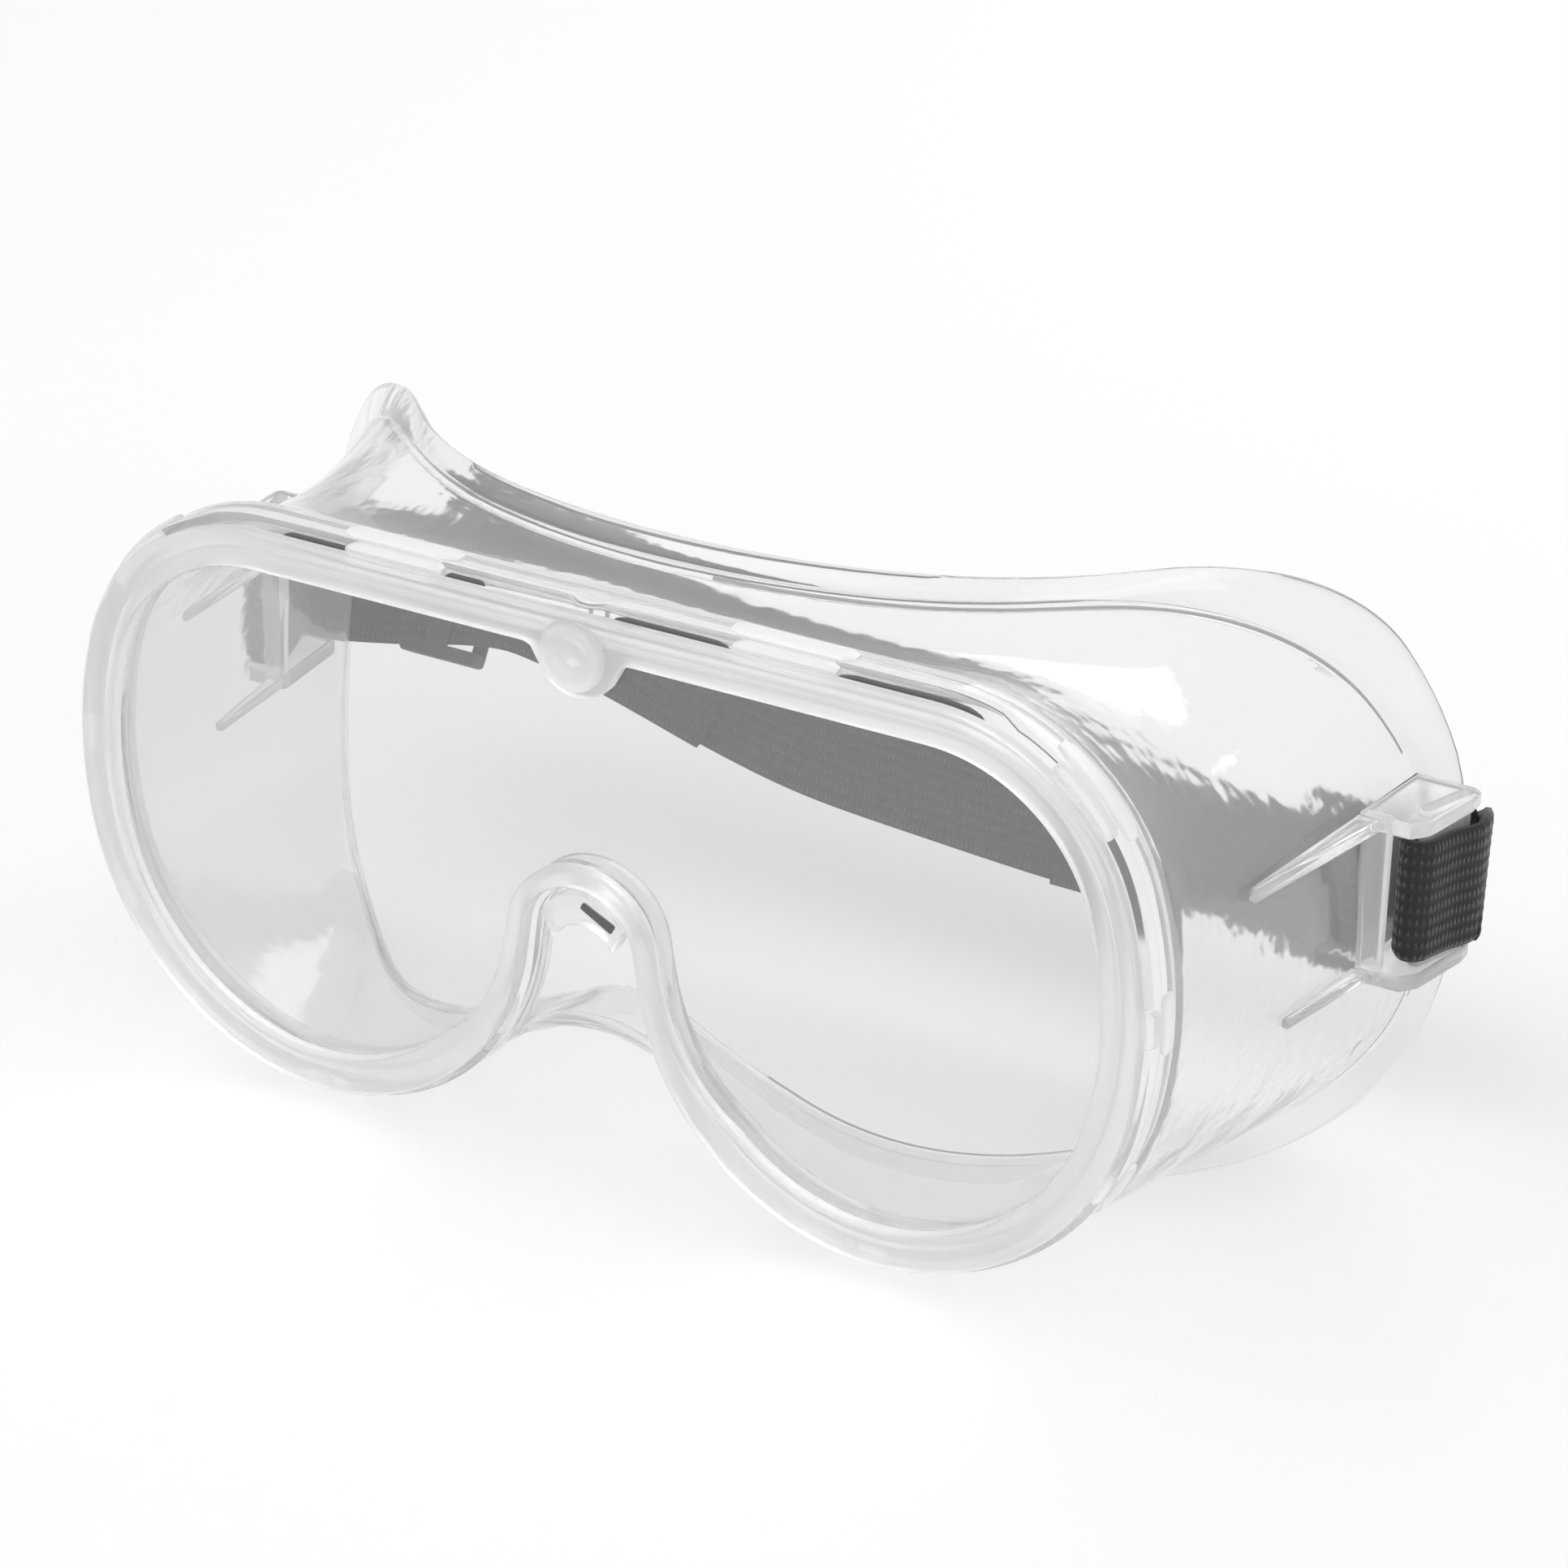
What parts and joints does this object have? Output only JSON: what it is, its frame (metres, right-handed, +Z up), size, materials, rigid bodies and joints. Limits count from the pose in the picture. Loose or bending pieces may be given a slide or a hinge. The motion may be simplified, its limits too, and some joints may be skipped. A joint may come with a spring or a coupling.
{
  "type": "safety goggles",
  "caption": "Clear soft-bodied safety goggles with a flat lens held in a grooved rim, a flared face flange, side brackets and an elastic headband with sliding buckles.",
  "frame": {"origin": "on the ground under the middle of the goggles' bounding box", "axes": "+X to the wearer's left, +Y from the lens towards the face, +Z up"},
  "size_m": [0.2038, 0.098, 0.09],
  "materials": {
    "clear_pvc": "clear soft vinyl, glossy",
    "frosted_pvc": "clear vinyl with a fine matt texture",
    "clear_lens": "clear polished polycarbonate",
    "elastic_strap": "black woven ribbed elastic",
    "buckle_plastic": "black moulded plastic"
  },
  "bodies": {
    "mask": {"front_lip": "frosted_pvc", "rim_channel": "clear_pvc", "rim_tabs": "frosted_pvc", "tab_pockets": "clear_pvc", "lens": "clear_lens", "lens_stud": "clear_pvc", "nose_latch": "frosted_pvc", "nose_web": "clear_pvc", "skirt": "clear_pvc", "face_flange": "clear_pvc", "bracket_left": "clear_pvc", "bracket_right": "clear_pvc", "bracket_ribs_left": "clear_pvc", "bracket_ribs_right": "clear_pvc", "strap_loop_left": "elastic_strap", "strap_loop_right": "elastic_strap"},
    "headband": {"headband": "elastic_strap", "strap_tail_left": "elastic_strap", "strap_tail_right": "elastic_strap"},
    "slider_left": {"slider_left": "buckle_plastic"},
    "slider_right": {"slider_right": "buckle_plastic"}
  },
  "joints": [
    {"name": "headband_swing", "type": "hinge", "parent": "mask", "child": "headband", "pos_m": [0, 0.02462, 0.04653], "axis": [1, 0, 0], "range_deg": [-8, 68]},
    {"name": "slider_left_slide", "type": "slide", "parent": "headband", "child": "slider_left", "axis": [1, 0, 0], "range_m": [-0.034, 0.002]},
    {"name": "slider_right_slide", "type": "slide", "parent": "headband", "child": "slider_right", "axis": [1, 0, 0], "range_m": [-0.002, 0.034]}
  ]
}
